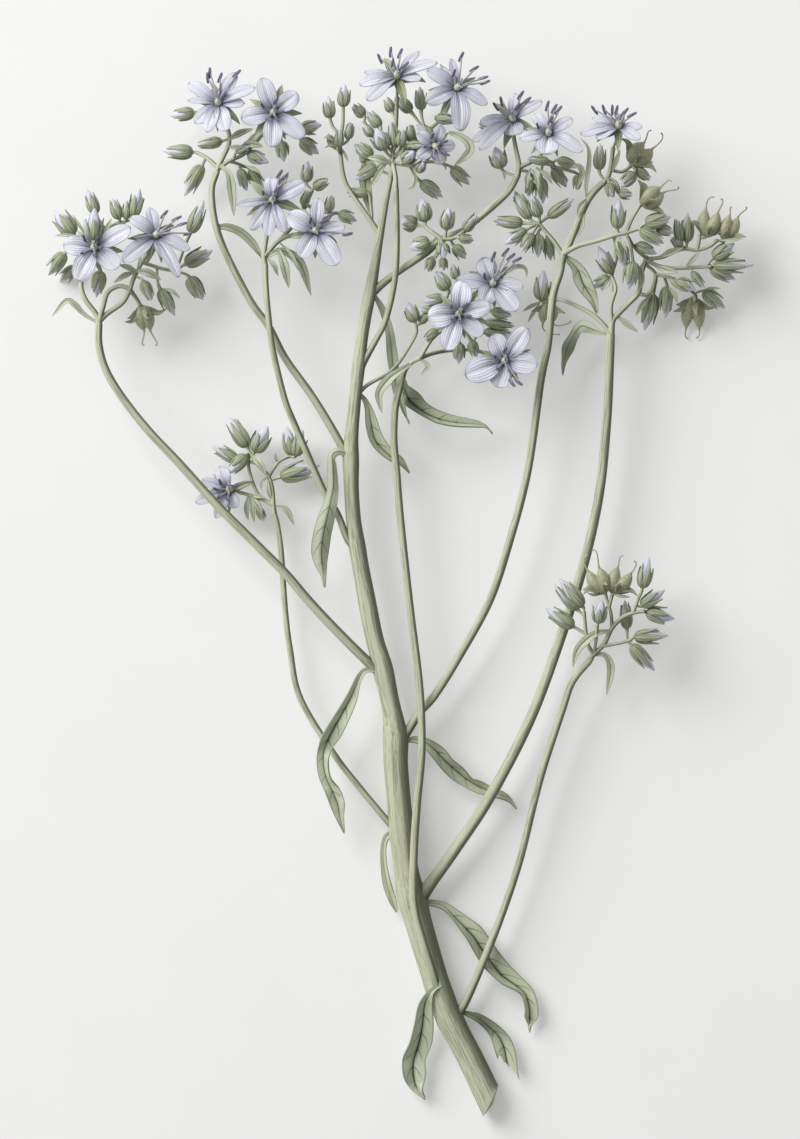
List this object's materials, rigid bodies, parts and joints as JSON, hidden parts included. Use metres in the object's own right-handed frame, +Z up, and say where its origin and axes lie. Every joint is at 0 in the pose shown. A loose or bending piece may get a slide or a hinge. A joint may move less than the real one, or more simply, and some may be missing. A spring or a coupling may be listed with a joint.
{
  "type": "cut flowering stem of hydrolea floribunda",
  "caption": "Cut, many-branched flowering stem lying flat: small five-petalled flowers, buds and twin-horned fruits in heads at the branch ends, narrow leaves",
  "frame": {"origin": "on the surface that the stem lies on, in the middle of the plant's box as seen from above", "axes": "+X to the right of the picture, +Y along the stem towards the flowers, +Z up from the surface towards the viewer"},
  "size_m": [0.1988, 0.2984, 0.0352],
  "materials": {
    "stem_green": "matt sage-green stem with fine lengthwise ridges",
    "leaf_green": "matt mid-green leaf with a paler midrib",
    "bud_green": "matt grey-green stalks, sepals, buds and fruits, softly hairy",
    "petal_pale": "thin, satin, pale blue-violet petal with darker veins"
  },
  "bodies": {
    "root": {"main_stem": "stem_green", "branch_centre": "stem_green", "branch_far_right": "stem_green", "branch_inner_left": "stem_green", "branch_long_left": "stem_green", "branch_low_left": "stem_green", "branch_low_right": "stem_green", "branch_right": "stem_green", "branch_thin_top": "stem_green", "branch_upper_left": "stem_green", "branch_upper_right": "stem_green", "leaf_behind": "leaf_green", "leaf_bent": "leaf_green", "leaf_dark": "leaf_green", "leaf_far_right": "leaf_green", "leaf_hooked": "leaf_green", "leaf_left": "leaf_green", "leaf_long_thin": "leaf_green", "leaf_low_left": "leaf_green", "leaf_low_right": "leaf_green", "leaf_right": "leaf_green", "leaf_small_left": "leaf_green", "leaf_thin_left": "leaf_green", "leaf_upper_left": "leaf_green", "head_centre": "bud_green", "head_far_left": "bud_green", "head_far_right": "bud_green", "head_inner_left": "bud_green", "head_low_left": "bud_green", "head_low_right": "bud_green", "head_right_top": "bud_green", "head_top": "bud_green", "head_upper_left": "bud_green", "head_upper_right": "bud_green", "spray_inner_right": "bud_green", "spray_right": "bud_green", "spray_top_left": "bud_green", "spray_upper_right": "bud_green", "twig_centre": "bud_green", "twig_link": "bud_green", "bloom_centre_1": "petal_pale", "bloom_centre_2": "petal_pale", "bloom_centre_3": "petal_pale", "bloom_far_left_1": "petal_pale", "bloom_far_left_2": "petal_pale", "bloom_inner_left_1": "petal_pale", "bloom_inner_left_2": "petal_pale", "bloom_low_left_1": "petal_pale", "bloom_right_top_1": "petal_pale", "bloom_top_1": "petal_pale", "bloom_top_2": "petal_pale", "bloom_top_3": "petal_pale", "bloom_upper_left_1": "petal_pale", "bloom_upper_left_2": "petal_pale", "bloom_upper_right_1": "petal_pale", "bloom_upper_right_2": "petal_pale"}
  },
  "joints": []
}
